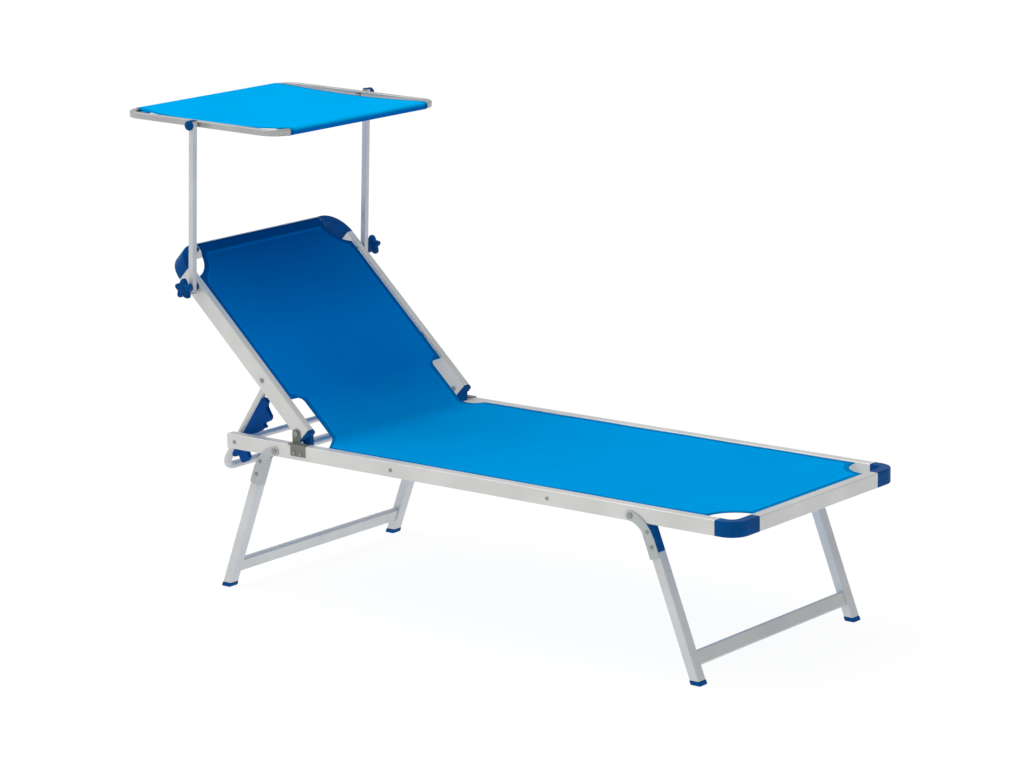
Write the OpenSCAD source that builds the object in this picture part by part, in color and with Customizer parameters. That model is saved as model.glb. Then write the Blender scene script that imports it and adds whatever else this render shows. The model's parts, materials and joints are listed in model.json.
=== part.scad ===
// Folding sun lounger: an aluminium bed on two folding leg frames, a backrest with a notched
// prop, and a fabric sunshade on two swinging arms. Units are millimetres. +X is the foot end,
// +Z is up, and the origin is on the floor below the middle of the whole object.
// The right side is -Y and the left side is +Y.

/* [Bed] */
// overall width of the bed frame
bed_w = 640; // [560:5:720]
// height of the top of the rails above the floor
bed_h = 383; // [330:1:430]
// x of the rails' open end, at the head
head_x = -583; // [-700:1:-500]
// x of the foot bar's outer face
foot_x = 900; // [800:1:980]
// height of the rails and the foot bar
rail_h = 36; // [28:1:45]
// width of the rails and the foot bar
rail_w = 26; // [18:1:32]
// wall thickness of the rectangular tubes
wall = 1.6; // [1:0.1:3]
// radius of the plastic foot corners
foot_r = 45; // [30:1:70]

/* [Legs] */
// x of the foot-side leg pivot
foot_pivot_x = 615; // [570:1:660]
// x of the head-side leg pivot
head_pivot_x = -431; // [-490:1:-390]
// height of both leg pivots
leg_pivot_z = 360; // [340:1:380]
// angle of the open legs from upright
leg_splay = 21; // [10:1:30]
// leg tube size along the bed
leg_d = 24; // [18:1:30]
// leg tube size across the bed
leg_w = 28; // [20:1:32]
// distance from the pivot to the leg's nearer face
leg_offset = 20.4; // [18:0.2:26]

/* [Backrest] */
// x of the backrest hinge
hinge_x = -376; // [-420:1:-340]
// height of the backrest hinge
hinge_z = 406; // [395:1:420]
// rise of the backrest as shown, from level
back_angle = 43.3; // [0:0.1:75]
// overall width of the backrest
back_w = 604; // [560:1:620]
// length of the backrest from hinge to top
back_len = 555; // [500:1:620]
// height of the backrest tube
back_h = 42; // [30:1:46]
// width of the backrest tube
back_t = 20; // [15:1:26]
// distance from the hinge line to the tube's lower face
back_low = 8; // [6:1:15]
// outer radius of the backrest's top corners
back_r = 65; // [50:1:80]

/* [Prop] */
// distance of the prop's pivot from the hinge, along the backrest
prop_at = 156; // [130:1:170]
// height of the prop's pivot above the hinge line
prop_up = 11.3; // [8:0.1:16]
// length of the prop, from its pivot to its cross tube
prop_len = 290; // [250:1:310]
// radius of the prop's tube
prop_r = 9.5; // [7:0.5:11]
// angle of the prop from upright
prop_angle = 34; // [25:1:45]
// x of the bar that holds the prop
rack_bar_x = -560; // [-568:1:-548]

/* [Sunshade] */
// distance of the arm's lower bolt from the hinge, along the backrest
arm_at = 444; // [400:1:450]
// height of the arm's lower bolt above the hinge line
arm_up = 22.5; // [20:0.5:28]
// length of the arm between its two bolts
arm_len = 392; // [350:1:480]
// lean of the arm towards the foot
arm_lean = 2.8; // [-20:0.1:30]
// arm tube size
arm_s = 15; // [12:1:20]
// overall width of the sunshade
shade_w = 600; // [560:1:600]
// overall length of the sunshade
shade_len = 500; // [400:2:520]
// droop of the sunshade's foot side
shade_tilt = 1.1; // [-20:0.1:20]
// sunshade side tube size
shade_s = 15; // [12:1:20]

/* [Fabric] */
// thickness of the fabric
fabric_t = 2; // [1:0.5:4]
// radius of the cut-outs at the seat's foot corners
cut_r = 74; // [60:1:90]
// radius of the cut-outs at the backrest's top corners
back_cut_r = 78; // [60:1:90]
// depth of the cut-outs beside the hinge
notch_depth = 50; // [30:1:80]

/* [Hidden] */
$fn = 48;
bed_y = bed_w / 2;
rail_z = bed_h - rail_h;
rail_in = bed_y - rail_w;
foot_end_x = foot_x - 60;
foot_bar_y = 234;
bar_r = 8;
bar_z = rail_z + 17;
rivet_r = 2.5;
rivet_head_r = 4.5;
hinge_bar_x = -400;
spreader_xs = [-74, 383];
rivet_xs = [rack_bar_x, spreader_xs[0], spreader_xs[1]];

// running fits: a pin of radius r turns in a hole of radius r + fit
fit = 0.05;
gap = 0.4;

// leg brackets
leg_mid = leg_offset + leg_d / 2;
bracket_t = 2.4;
bracket_y0 = bed_y + gap;
bracket_y1 = bracket_y0 + bracket_t;
leg_pin_r = 4;
leg_in = bed_y - leg_w;
head_block_z = -95;
arc_r = 71.8;
arc_z = -60;
leg_cross_z = -342;
cap_h = 11;

// backrest
back_y = back_w / 2;
back_in = back_y - back_t;
back_top = back_h - back_low;
back_bend = back_len - back_r;
pin_r = 4;
tab_y0 = back_y + gap;
tab_t = 2;
tab_y1 = tab_y0 + tab_t;
plate_y1 = bed_y + tab_t;
plate_xs = [hinge_x - 4, hinge_x + 41];
plate_rivet_xs = [plate_xs[0] + 11, plate_xs[1] - 13];
tab_w = 24;

// prop
prop_y = 272;
prop_bend = 40;
rack_t = 12;
// where the rest bar lies in the prop's frame: down the prop, and to its foot side
rest_bar_a = 174.1;
rest_bar_p = 23.1;

// sunshade
arm_in = back_y + 5.5;
arm_out = arm_in + arm_s;
knob_stem = 15;
arm_tail = 13;
arm_tip = 9;
star_bolt_r = 4;
tilt_bolt_r = 3;
shade_y = shade_w / 2;
shade_x = shade_len / 2;
shade_r = 50;
shade_bar_r = 8;
shade_bar_y = shade_y - shade_r;
shade_bar_x = shade_x - shade_s / 2;
sleeve_r = shade_bar_r + fabric_t;

sides = ["right", "left"];

// ---- shared shapes ----

// models for the left side, mirrored to the right side when side is "right"
module on_side(side) {
    mirror([0, side == "right" ? 1 : 0, 0])
        children();
}

module both_sides() {
    for (side = sides)
        on_side(side)
            children();
}

// a flat outline in x and z, as thick as y0 to y1
module side_plate(y0, y1) {
    translate([0, y1, 0])
        rotate([90, 0, 0])
            linear_extrude(y1 - y0)
                children();
}

// a round bar across the object, from y0 to y1
module cross_pin(r, y0, y1) {
    translate([0, y0, 0])
        rotate([-90, 0, 0])
            cylinder(r = r, h = y1 - y0);
}

// a rectangle with rounded corners, from the point at to at + size
module soft_rect(at, size, r) {
    translate(at + [r, 0])
        square([size[0] - 2 * r, size[1]]);
    translate(at + [0, r])
        square([size[0], size[1] - 2 * r]);
    for (x = [r, size[0] - r])
        for (y = [r, size[1] - r])
            translate(at + [x, y])
                circle(r = r);
}

// the section of a rectangular tube
module tube_section(at, size, r = 3, t = wall) {
    difference() {
        soft_rect(at, size, r);
        soft_rect(at + [t, t], size - [2 * t, 2 * t], r - t + 0.4);
    }
}

// extrudes a section drawn in y and z along x, from x0 to x1
module along_x(x0, x1) {
    translate([x0, 0, 0])
        rotate([90, 0, 90])
            linear_extrude(x1 - x0)
                children();
}

module aluminium() {
    color([0.80, 0.80, 0.78])
        children();
}

module steel() {
    color([0.60, 0.62, 0.64])
        children();
}

module plastic() {
    color([0.02, 0.25, 0.55])
        children();
}

module fabric() {
    color([0.0, 0.55, 0.85])
        children();
}

// ---- bed ----

module rail(side) {
    aluminium()
        on_side(side)
            difference() {
                along_x(head_x, foot_end_x)
                    tube_section([rail_in, rail_z], [rail_w, rail_h]);
                for (x = rivet_xs)
                    translate([x, 0, bar_z])
                        cross_pin(rivet_r, rail_in - 1, bed_y + 1);
                for (x = [head_pivot_x, foot_pivot_x])
                    translate([x, 0, leg_pivot_z])
                        cross_pin(leg_pin_r, rail_in - 1, bed_y + 1);
                for (x = plate_rivet_xs)
                    translate([x, 0, bar_z])
                        cross_pin(rivet_r, bed_y - 2 * wall, bed_y + 1);
            }
}

module foot_bar() {
    aluminium()
        translate([0, foot_bar_y, 0])
            rotate([90, 0, 0])
                linear_extrude(2 * foot_bar_y)
                    tube_section([foot_x - rail_w, rail_z], [rail_w, rail_h]);
}

// a plastic elbow between the rail and the foot bar, with a spigot into each tube
module foot_corner(side) {
    bend_x = foot_x - foot_r;
    bend_y = bed_y - foot_r;
    spigot = 22;
    inset = wall + 0.3;
    plastic()
        on_side(side) {
            translate([bend_x, bend_y, 0])
                rotate_extrude(angle = 90)
                    soft_rect([foot_r - rail_w, rail_z], [rail_w, rail_h], 3);
            along_x(foot_end_x, bend_x)
                soft_rect([rail_in, rail_z], [rail_w, rail_h], 3);
            translate([foot_x - rail_w, foot_bar_y, 0])
                translate([0, bend_y - foot_bar_y, 0])
                    rotate([90, 0, 0])
                        linear_extrude(bend_y - foot_bar_y)
                            soft_rect([0, rail_z], [rail_w, rail_h], 3);
            translate([foot_end_x - spigot, rail_in + inset, rail_z + inset])
                cube([spigot, rail_w - 2 * inset, rail_h - 2 * inset]);
            translate([foot_x - rail_w + inset, foot_bar_y - spigot, rail_z + inset])
                cube([rail_w - 2 * inset, spigot, rail_h - 2 * inset]);
        }
}

// plugs set just inside the rails' open ends, at the head
module rail_plugs() {
    plastic()
        both_sides()
            along_x(head_x + 2, head_x + 14)
                soft_rect([rail_in + wall, rail_z + wall], [rail_w - 2 * wall, rail_h - 2 * wall], 1.8);
}

// a round tube between the rails
module spreader(x) {
    aluminium()
        translate([x, 0, bar_z])
            difference() {
                cross_pin(bar_r, -rail_in, rail_in);
                cross_pin(bar_r - 1.5, -rail_in - 1, rail_in + 1);
            }
}

module spreaders() {
    for (x = spreader_xs)
        spreader(x);
}

module bed_rivets() {
    steel()
        both_sides() {
            for (x = rivet_xs)
                translate([x, 0, bar_z]) {
                    cross_pin(rivet_r, rail_in - 8, bed_y + 0.5);
                    cross_pin(rivet_head_r, bed_y, bed_y + 1.6);
                }
            for (x = plate_rivet_xs)
                translate([x, 0, bar_z]) {
                    cross_pin(rivet_r, bed_y - 2 * wall, plate_y1 + 0.5);
                    cross_pin(rivet_head_r, plate_y1, plate_y1 + 1.6);
                }
        }
}

// a steel plate on the rail's outer face, folded over its top and up to the hinge
module hinge_bracket(side) {
    steel()
        on_side(side)
            difference() {
                union() {
                    side_plate(bed_y, plate_y1)
                        translate([plate_xs[0], bar_z - 7])
                            square([plate_xs[1] - plate_xs[0], bed_h + tab_t - bar_z + 7]);
                    translate([hinge_x - tab_w / 2, tab_y0, bed_h])
                        cube([plate_xs[1] - hinge_x + tab_w / 2, plate_y1 - tab_y0, tab_t]);
                    side_plate(tab_y0, tab_y1) {
                        translate([hinge_x - tab_w / 2, bed_h])
                            square([tab_w, hinge_z - bed_h]);
                        translate([hinge_x, hinge_z])
                            circle(r = tab_w / 2);
                    }
                }
                for (x = plate_rivet_xs)
                    translate([x, 0, bar_z])
                        cross_pin(rivet_r, bed_y - 1, plate_y1 + 1);
                translate([hinge_x, 0, hinge_z])
                    cross_pin(pin_r + fit, tab_y0 - 1, tab_y1 + 1);
            }
}

// the rivets that the leg brackets turn on
module leg_pivot_rivets() {
    steel()
        both_sides()
            for (x = [head_pivot_x, foot_pivot_x])
                translate([x, 0, leg_pivot_z]) {
                    cross_pin(leg_pin_r, rail_in, bracket_y1 + gap);
                    cross_pin(leg_pin_r + 3, bracket_y1 + gap, bracket_y1 + gap + 2);
                    cross_pin(leg_pin_r + 2, rail_in - 1.5, rail_in);
                }
}

module seat_fabric() {
    x0 = hinge_x + 74;
    x1 = foot_x - rail_w;
    y1 = rail_in - 0.5;
    fabric()
        translate([0, 0, bed_h - 4])
            linear_extrude(fabric_t)
                difference() {
                    translate([x0, -y1])
                        square([x1 - x0, 2 * y1]);
                    for (s = [-1, 1])
                        translate([x1, s * y1])
                            circle(r = cut_r);
                }
}

// ---- hinge pins, which turn in the brackets and in the backrest tubes ----

module hinge_pins() {
    steel()
        both_sides()
            translate([hinge_x, 0, hinge_z]) {
                cross_pin(pin_r, back_in - gap, tab_y1 + gap);
                cross_pin(pin_r + 3, tab_y1 + gap, tab_y1 + gap + 2);
                cross_pin(pin_r + 2, back_in - gap - 1.6, back_in - gap);
            }
}

// ---- backrest: x runs from the hinge to the top, z is the height above the hinge line ----

module on_backrest() {
    translate([hinge_x, 0, hinge_z])
        rotate([0, back_angle, 0])
            mirror([1, 0, 0])
                children();
}

module back_tube(side) {
    aluminium()
        on_backrest()
            on_side(side)
                difference() {
                    along_x(-17, back_bend)
                        tube_section([back_in, -back_low], [back_t, back_h]);
                    cross_pin(pin_r + fit, back_in - 1, back_y + 1);
                    translate([prop_at, 0, prop_up])
                        cross_pin(pin_r, back_in - 1, back_y + 1);
                    translate([arm_at, 0, arm_up])
                        cross_pin(star_bolt_r, back_in - 1, back_y + 1);
                }
}

module back_top_bar() {
    bar_y = back_y - back_r - 12;
    aluminium()
        on_backrest()
            translate([0, bar_y, 0])
                rotate([90, 0, 0])
                    linear_extrude(2 * bar_y)
                        tube_section([back_len - back_t, -back_low], [back_t, back_h]);
}

// a plastic elbow at the top of the backrest
module back_corner(side) {
    bend_y = back_y - back_r;
    inset = wall + 0.3;
    spigot = 20;
    plastic()
        on_backrest()
            on_side(side) {
                translate([back_bend, bend_y, 0])
                    rotate_extrude(angle = 90)
                        soft_rect([back_r - back_t, -back_low], [back_t, back_h], 3);
                translate([back_len - back_t, bend_y, 0])
                    rotate([90, 0, 0])
                        linear_extrude(12)
                            soft_rect([0, -back_low], [back_t, back_h], 3);
                translate([back_bend - spigot, back_in + inset, inset - back_low])
                    cube([spigot, back_t - 2 * inset, back_h - 2 * inset]);
                translate([back_len - back_t + inset, bend_y - 12 - spigot, inset - back_low])
                    cube([back_t - 2 * inset, spigot, back_h - 2 * inset]);
            }
}

// closes the lower ends of the backrest tubes: a thin part that clears the rail when upright, and a
// longer part that passes inside the rail
module back_plugs() {
    inset = wall + 0.3;
    end = -17;
    plastic()
        on_backrest()
            both_sides() {
                side_plate(back_in, rail_in - gap)
                    polygon([
                        [end, 1 - back_low], [end - 21, 1 - back_low], [end - 27, 6],
                        [end - 1, back_top - 1], [end, back_top - 1]
                    ]);
                side_plate(back_in, back_y)
                    polygon([
                        [end, 1 - back_low], [end - 3.5, 1 - back_low], [end - 7, 3],
                        [end - 11, 20], [end - 10, back_top - 3], [end - 7, back_top - 1],
                        [end, back_top - 1]
                    ]);
                translate([end, back_in + inset, inset - back_low])
                    cube([10, back_t - 2 * inset, back_h - 2 * inset]);
            }
}

module back_fabric() {
    x1 = back_len - back_t;
    y1 = back_in - 2.5;
    fabric()
        on_backrest()
            translate([0, 0, back_top - 6])
                linear_extrude(fabric_t)
                    difference() {
                        translate([-60, -y1])
                            square([x1 + 60, 2 * y1]);
                        for (s = [-1, 1]) {
                            translate([x1 + 5, s * (y1 + 20)])
                                circle(r = back_cut_r);
                            translate([-61, s > 0 ? y1 - notch_depth + 10 : -y1 - 1])
                                square([61 + 75, notch_depth - 9]);
                        }
                    }
}

// the rivets that the prop turns on
module prop_rivets() {
    steel()
        on_backrest()
            both_sides()
                translate([prop_at, 0, prop_up]) {
                    cross_pin(pin_r, prop_y - prop_r - gap, back_y + 0.5);
                    cross_pin(pin_r + 2, back_y, back_y + 1.8);
                    cross_pin(pin_r + 2, prop_y - prop_r - gap - 1.8, prop_y - prop_r - gap);
                }
}

// washers that hold the sunshade's arms off the backrest
module arm_spacers() {
    plastic()
        on_backrest()
            both_sides()
                translate([arm_at, 0, arm_up])
                    difference() {
                        cross_pin(star_bolt_r + 5, back_y, arm_in - gap);
                        cross_pin(star_bolt_r, back_y - 1, arm_in);
                    }
}

// the bolts under the star knobs
module star_bolts() {
    steel()
        on_backrest()
            both_sides()
                translate([arm_at, 0, arm_up]) {
                    cross_pin(star_bolt_r, back_in - 1, arm_out + knob_stem + 10);
                    cross_pin(star_bolt_r + 2.5, back_in - 1.4, back_in);
                }
}

// ---- prop: the frame's x points to the foot side, and -z runs down the prop ----

prop_x = hinge_x - prop_at * cos(back_angle) + prop_up * sin(back_angle);
prop_z = hinge_z + prop_at * sin(back_angle) + prop_up * cos(back_angle);

module on_prop() {
    translate([prop_x, 0, prop_z])
        rotate([0, prop_angle, 0])
            children();
}

module prop_arm(side) {
    straight = prop_len - prop_bend;
    aluminium()
        on_prop()
            on_side(side)
                difference() {
                    union() {
                        translate([0, prop_y, -straight])
                            cylinder(r = prop_r, h = straight + 12);
                        translate([0, prop_y - prop_bend, -straight])
                            rotate([0, 90, 0])
                                rotate_extrude(angle = 90)
                                    translate([prop_bend, 0])
                                        circle(r = prop_r);
                    }
                    cross_pin(pin_r + fit, prop_y - prop_r - 1, prop_y + prop_r + 1);
                }
}

module prop_cross() {
    aluminium()
        on_prop()
            translate([0, 0, -prop_len])
                cross_pin(prop_r, prop_bend - prop_y, prop_y - prop_bend);
}

// a toothed plate on the foot side of the prop's arm; the rest bar sits in its lowest notch
module rack(side) {
    plastic()
        on_prop()
            on_side(side)
                difference() {
                    side_plate(prop_y - rack_t / 2, prop_y + rack_t / 2)
                        polygon([
                            [4, -58], [14, -51], [21, -50], [26, -53], [27, -60], [30, -66],
                            [38, -70], [45, -73], [52, -76], [55, -81], [55, -88], [51, -95],
                            [46, -104], [46, -107], [54, -109], [54, -113], [51, -117], [48, -121],
                            [47, -128], [41, -139], [31, -152], [22, -162], [16, -168], [14, -174],
                            [17, -181], [27, -190], [36, -196.5], [45, -203], [53, -208.5],
                            [54, -219], [51, -226], [44, -234], [38, -232], [25, -225.5],
                            [19, -237], [12, -240], [7, -236], [4, -228]
                        ]);
                    translate([0, prop_y, -250])
                        cylinder(r = prop_r, h = 230);
                    translate([rest_bar_p, 0, -rest_bar_a])
                        cross_pin(bar_r + 0.6, prop_y - 20, prop_y + 20);
                }
}

// ---- leg frames: the frame's origin is the pivot, and -z runs down the leg ----

module on_leg(end) {
    translate([end == "foot" ? foot_pivot_x : head_pivot_x, 0, leg_pivot_z])
        mirror([end == "foot" ? 0 : 1, 0, 0])
            rotate([0, -leg_splay, 0])
                children();
}

// everything between two heights above the floor
module level_band(z0, z1) {
    translate([-1200, -400, z0])
        cube([2400, 800, z1 - z0]);
}

module leg_tube(end, side) {
    aluminium()
        intersection() {
            on_leg(end)
                on_side(side)
                    difference() {
                        translate([0, 0, -420])
                            linear_extrude(420 + head_block_z)
                                tube_section([leg_offset, leg_in], [leg_d, leg_w]);
                        for (z = [-82, -88])
                            translate([leg_mid, 0, z])
                                cross_pin(1, leg_in - 1, leg_in - 0.5);
                    }
            level_band(cap_h, bed_h);
        }
}

// the plastic block at the leg's top, which stops against the rail
module leg_head(end, side) {
    inset = wall + 0.3;
    plastic()
        intersection() {
            on_leg(end)
                on_side(side)
                    difference() {
                        union() {
                            translate([0, 0, head_block_z])
                                linear_extrude(90)
                                    soft_rect([leg_offset, leg_in], [leg_d, leg_w], 3);
                            translate([leg_offset + inset, leg_in + inset, head_block_z - 20])
                                cube([leg_d - 2 * inset, leg_w - 2 * inset, 21]);
                        }
                        for (z = [-45, -80])
                            translate([leg_mid, 0, z])
                                cross_pin(rivet_r, leg_in - 1, bed_y + 1);
                    }
            level_band(0, rail_z - 0.4);
        }
}

// a curved steel plate from the pivot to the leg, with a flange along the leg's inner face
module leg_bracket(end, side) {
    half = 11;
    plate_low = -106;
    steel()
        on_leg(end)
            on_side(side) {
                difference() {
                    side_plate(bracket_y0, bracket_y1) {
                        circle(r = 12);
                        intersection() {
                            translate([leg_mid - arc_r, arc_z])
                                difference() {
                                    circle(r = arc_r + half, $fn = 96);
                                    circle(r = arc_r - half, $fn = 96);
                                }
                            polygon([
                                [leg_mid - arc_r, arc_z], [leg_mid + 2 * half, arc_z],
                                [leg_mid + 2 * half, 40], [2, 2]
                            ]);
                        }
                        translate([leg_mid - half - 1, plate_low])
                            square([2 * half + 2, arc_z - plate_low]);
                    }
                    cross_pin(leg_pin_r + fit, bracket_y0 - 1, bracket_y1 + 1);
                    for (z = [-45, -80])
                        translate([leg_mid, 0, z])
                            cross_pin(rivet_r, bracket_y0 - 1, bracket_y1 + 1);
                }
                translate([leg_offset - 2, leg_in + 4, plate_low])
                    cube([2, bracket_y1 - leg_in - 4, -32 - plate_low]);
            }
}

module leg_rivets(end) {
    steel()
        on_leg(end)
            both_sides()
                for (z = [-45, -80])
                    translate([leg_mid, 0, z]) {
                        cross_pin(rivet_r, leg_in, bracket_y1 + 0.5);
                        cross_pin(rivet_head_r, bracket_y1, bracket_y1 + 1.6);
                        cross_pin(rivet_head_r, leg_in - 1.4, leg_in);
                    }
}

module leg_cross(end) {
    aluminium()
        on_leg(end)
            translate([0, leg_in, 0])
                rotate([90, 0, 0])
                    linear_extrude(2 * leg_in)
                        tube_section([leg_mid - 7.5, leg_cross_z - 17], [15, 34], 4);
}

module leg_caps(end) {
    plastic()
        intersection() {
            on_leg(end)
                both_sides()
                    translate([0, 0, -430])
                        linear_extrude(60)
                            soft_rect([leg_offset - 0.8, leg_in - 0.8], [leg_d + 1.6, leg_w + 1.6], 3);
            level_band(0, cap_h);
        }
}

// ---- sunshade arms: z runs up the arm from the star bolt ----

arm_x = hinge_x - arm_at * cos(back_angle) + arm_up * sin(back_angle);
arm_z = hinge_z + arm_at * sin(back_angle) + arm_up * cos(back_angle);

module on_arms() {
    translate([arm_x, 0, arm_z])
        rotate([0, arm_lean, 0])
            children();
}

module arm(side) {
    aluminium()
        on_arms()
            on_side(side)
                difference() {
                    translate([0, 0, -arm_tail])
                        linear_extrude(arm_tail + arm_len + arm_tip)
                            tube_section([-arm_s / 2, arm_in], [arm_s, arm_s], 2.5, 1.4);
                    cross_pin(star_bolt_r + fit, arm_in - 1, arm_out + 1);
                    translate([0, 0, arm_len])
                        cross_pin(tilt_bolt_r, arm_in - 1, arm_out + 1);
                }
}

module arm_plugs() {
    plastic()
        on_arms()
            both_sides()
                for (z = [-arm_tail - 2, arm_len + arm_tip])
                    translate([0, 0, z])
                        linear_extrude(2)
                            soft_rect([-arm_s / 2, arm_in], [arm_s, arm_s], 2.5);
}

// the bolts under the small knobs, each with a collar beside the sunshade
module tilt_bolts() {
    steel()
        on_arms()
            translate([0, 0, arm_len])
                both_sides() {
                    cross_pin(tilt_bolt_r, shade_y - shade_s - 4, arm_out + 9);
                    cross_pin(tilt_bolt_r + 3, shade_y - shade_s - 4, shade_y - shade_s - gap);
                    cross_pin(tilt_bolt_r + 4, shade_y + gap, arm_in);
                }
}

// ---- sunshade: the origin is the line of the small bolts ----

module on_shade() {
    on_arms()
        translate([0, 0, arm_len])
            rotate([0, shade_tilt - arm_lean, 0])
                children();
}

module shade_side(side) {
    straight = shade_x - shade_r;
    aluminium()
        on_shade()
            on_side(side)
                difference() {
                    union() {
                        along_x(-straight, straight)
                            tube_section([shade_y - shade_s, -shade_s / 2], [shade_s, shade_s]);
                        for (s = [0, 1])
                            mirror([s, 0, 0])
                                translate([straight, shade_y - shade_r, 0])
                                    rotate_extrude(angle = 90)
                                        tube_section([shade_r - shade_s, -shade_s / 2], [shade_s, shade_s]);
                    }
                    cross_pin(tilt_bolt_r + fit, shade_y - shade_s - 1, shade_y + 1);
                }
}

// the round bars inside the fabric's two sleeves
module shade_bars() {
    aluminium()
        on_shade()
            for (s = [-1, 1])
                translate([s * shade_bar_x, 0, 0])
                    cross_pin(shade_bar_r, -shade_bar_y, shade_bar_y);
}

module shade_fabric() {
    edge_y = shade_bar_y - 4;
    fabric()
        on_shade()
            difference() {
                union() {
                    for (s = [-1, 1])
                        translate([s * shade_bar_x, 0, 0])
                            cross_pin(sleeve_r, -shade_bar_y, shade_bar_y);
                    translate([-shade_bar_x, -edge_y, shade_bar_r])
                        cube([2 * shade_bar_x, 2 * edge_y, fabric_t]);
                }
                for (s = [-1, 1])
                    translate([s * shade_bar_x, 0, 0])
                        cross_pin(shade_bar_r, -shade_y, shade_y);
            }
}

// ---- knobs ----

// a five-lobed knob on a star bolt
module star_knob(side) {
    lobes = 5;
    low = arm_out + gap + knob_stem;
    plastic()
        on_arms()
            on_side(side)
                difference() {
                    union() {
                        side_plate(low, low + 17) {
                            circle(r = 17);
                            for (k = [0 : lobes - 1])
                                rotate(k * 360 / lobes + 36)
                                    translate([18, 0])
                                        circle(r = 7);
                        }
                        cross_pin(9, arm_out + gap, low + 21);
                    }
                    cross_pin(star_bolt_r + fit, arm_out, low + 10);
                }
}

// a small round knob on a tilt bolt
module tilt_knob(side) {
    plastic()
        on_arms()
            translate([0, 0, arm_len])
                on_side(side)
                    difference() {
                        cross_pin(12, arm_out + gap, arm_out + gap + 12);
                        cross_pin(tilt_bolt_r + fit, arm_out, arm_out + 10);
                    }
}

rail("right");  // rail_right
rail("left");  // rail_left
foot_bar();
foot_corner("right");  // foot_corner_right
foot_corner("left");  // foot_corner_left
rail_plugs();
spreader(rack_bar_x);  // rack_bar
spreader(hinge_bar_x);  // hinge_bar
spreaders();
bed_rivets();
hinge_bracket("right");  // hinge_bracket_right
hinge_bracket("left");  // hinge_bracket_left
leg_pivot_rivets();
seat_fabric();
hinge_pins();
back_tube("right");  // back_tube_right
back_tube("left");  // back_tube_left
back_top_bar();
back_corner("right");  // back_corner_right
back_corner("left");  // back_corner_left
back_plugs();
back_fabric();
prop_rivets();
arm_spacers();
star_bolts();
prop_arm("right");  // prop_arm_right
prop_arm("left");  // prop_arm_left
prop_cross();
rack("right");  // rack_right
rack("left");  // rack_left
leg_tube("foot", "right");  // foot_leg_right
leg_tube("foot", "left");  // foot_leg_left
leg_head("foot", "right");  // foot_leg_head_right
leg_head("foot", "left");  // foot_leg_head_left
leg_bracket("foot", "right");  // foot_leg_bracket_right
leg_bracket("foot", "left");  // foot_leg_bracket_left
leg_rivets("foot");  // foot_leg_rivets
leg_cross("foot");  // foot_leg_cross
leg_caps("foot");  // foot_leg_caps
leg_tube("head", "right");  // head_leg_right
leg_tube("head", "left");  // head_leg_left
leg_head("head", "right");  // head_leg_head_right
leg_head("head", "left");  // head_leg_head_left
leg_bracket("head", "right");  // head_leg_bracket_right
leg_bracket("head", "left");  // head_leg_bracket_left
leg_rivets("head");  // head_leg_rivets
leg_cross("head");  // head_leg_cross
leg_caps("head");  // head_leg_caps
arm("right");  // arm_right
arm("left");  // arm_left
arm_plugs();
tilt_bolts();
shade_side("right");  // shade_side_right
shade_side("left");  // shade_side_left
shade_bars();
shade_fabric();
star_knob("right");  // star_knob_right
star_knob("left");  // star_knob_left
tilt_knob("right");  // tilt_knob_right
tilt_knob("left");  // tilt_knob_left
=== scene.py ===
"""Folding sun lounger with a sunshade: materials, cloths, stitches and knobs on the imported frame."""

import json
import math

import bmesh
import bpy
from mathutils import Matrix, Vector


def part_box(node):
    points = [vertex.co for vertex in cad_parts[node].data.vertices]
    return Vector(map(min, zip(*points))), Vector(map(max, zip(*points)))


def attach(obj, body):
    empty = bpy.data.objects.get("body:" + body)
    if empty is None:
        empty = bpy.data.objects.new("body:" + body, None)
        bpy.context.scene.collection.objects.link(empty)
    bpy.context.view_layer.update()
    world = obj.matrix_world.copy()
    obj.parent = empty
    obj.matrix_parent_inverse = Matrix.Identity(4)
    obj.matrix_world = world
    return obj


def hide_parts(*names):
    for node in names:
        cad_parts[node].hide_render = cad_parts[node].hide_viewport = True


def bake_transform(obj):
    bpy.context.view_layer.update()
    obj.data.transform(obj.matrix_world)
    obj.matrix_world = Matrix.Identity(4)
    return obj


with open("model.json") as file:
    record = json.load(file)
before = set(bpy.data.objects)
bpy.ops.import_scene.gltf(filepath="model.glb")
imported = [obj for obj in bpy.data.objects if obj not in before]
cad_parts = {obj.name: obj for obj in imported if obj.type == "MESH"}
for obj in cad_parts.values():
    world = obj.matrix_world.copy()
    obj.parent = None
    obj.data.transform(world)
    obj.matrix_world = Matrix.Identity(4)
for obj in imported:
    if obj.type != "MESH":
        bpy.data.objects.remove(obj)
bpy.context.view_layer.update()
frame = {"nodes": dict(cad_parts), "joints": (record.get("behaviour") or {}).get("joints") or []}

MM = 0.001

# ---- places taken from the frame ----

SIDES = {"right": -1, "left": 1}
joints = {joint["name"]: joint for joint in frame["joints"]}
HINGE = Vector(joints["backrest_recline"]["pos_m"])
STAR_BOLT = Vector(joints["arms_tilt"]["pos_m"])
TILT_BOLT = Vector(joints["shade_tilt"]["pos_m"])

# the backrest's angle above the bed, which is how far it reclines
BACK_ANGLE = -math.radians(joints["backrest_recline"]["range_deg"][0])
SHADE_TILT = math.radians(1.1)

# unit vectors of the backrest: up along it, and out of its face
BACK_UP = Vector((-math.cos(BACK_ANGLE), 0, math.sin(BACK_ANGLE)))
BACK_OUT = Vector((math.sin(BACK_ANGLE), 0, math.cos(BACK_ANGLE)))

RAIL_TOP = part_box("rail_right")[1][2]
RAIL_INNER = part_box("rail_left")[0][1]
FOOT_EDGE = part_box("foot_bar")[0][0]
BACK_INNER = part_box("back_tube_left")[0][1]
ARM_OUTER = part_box("arm_left")[1][1]


def on_back(along, out, y):
    """A point on the backrest, from its hinge, in metres."""
    point = HINGE + BACK_UP * along + BACK_OUT * out
    return Vector((point.x, y, point.z))


# ---- material helpers ----


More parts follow.
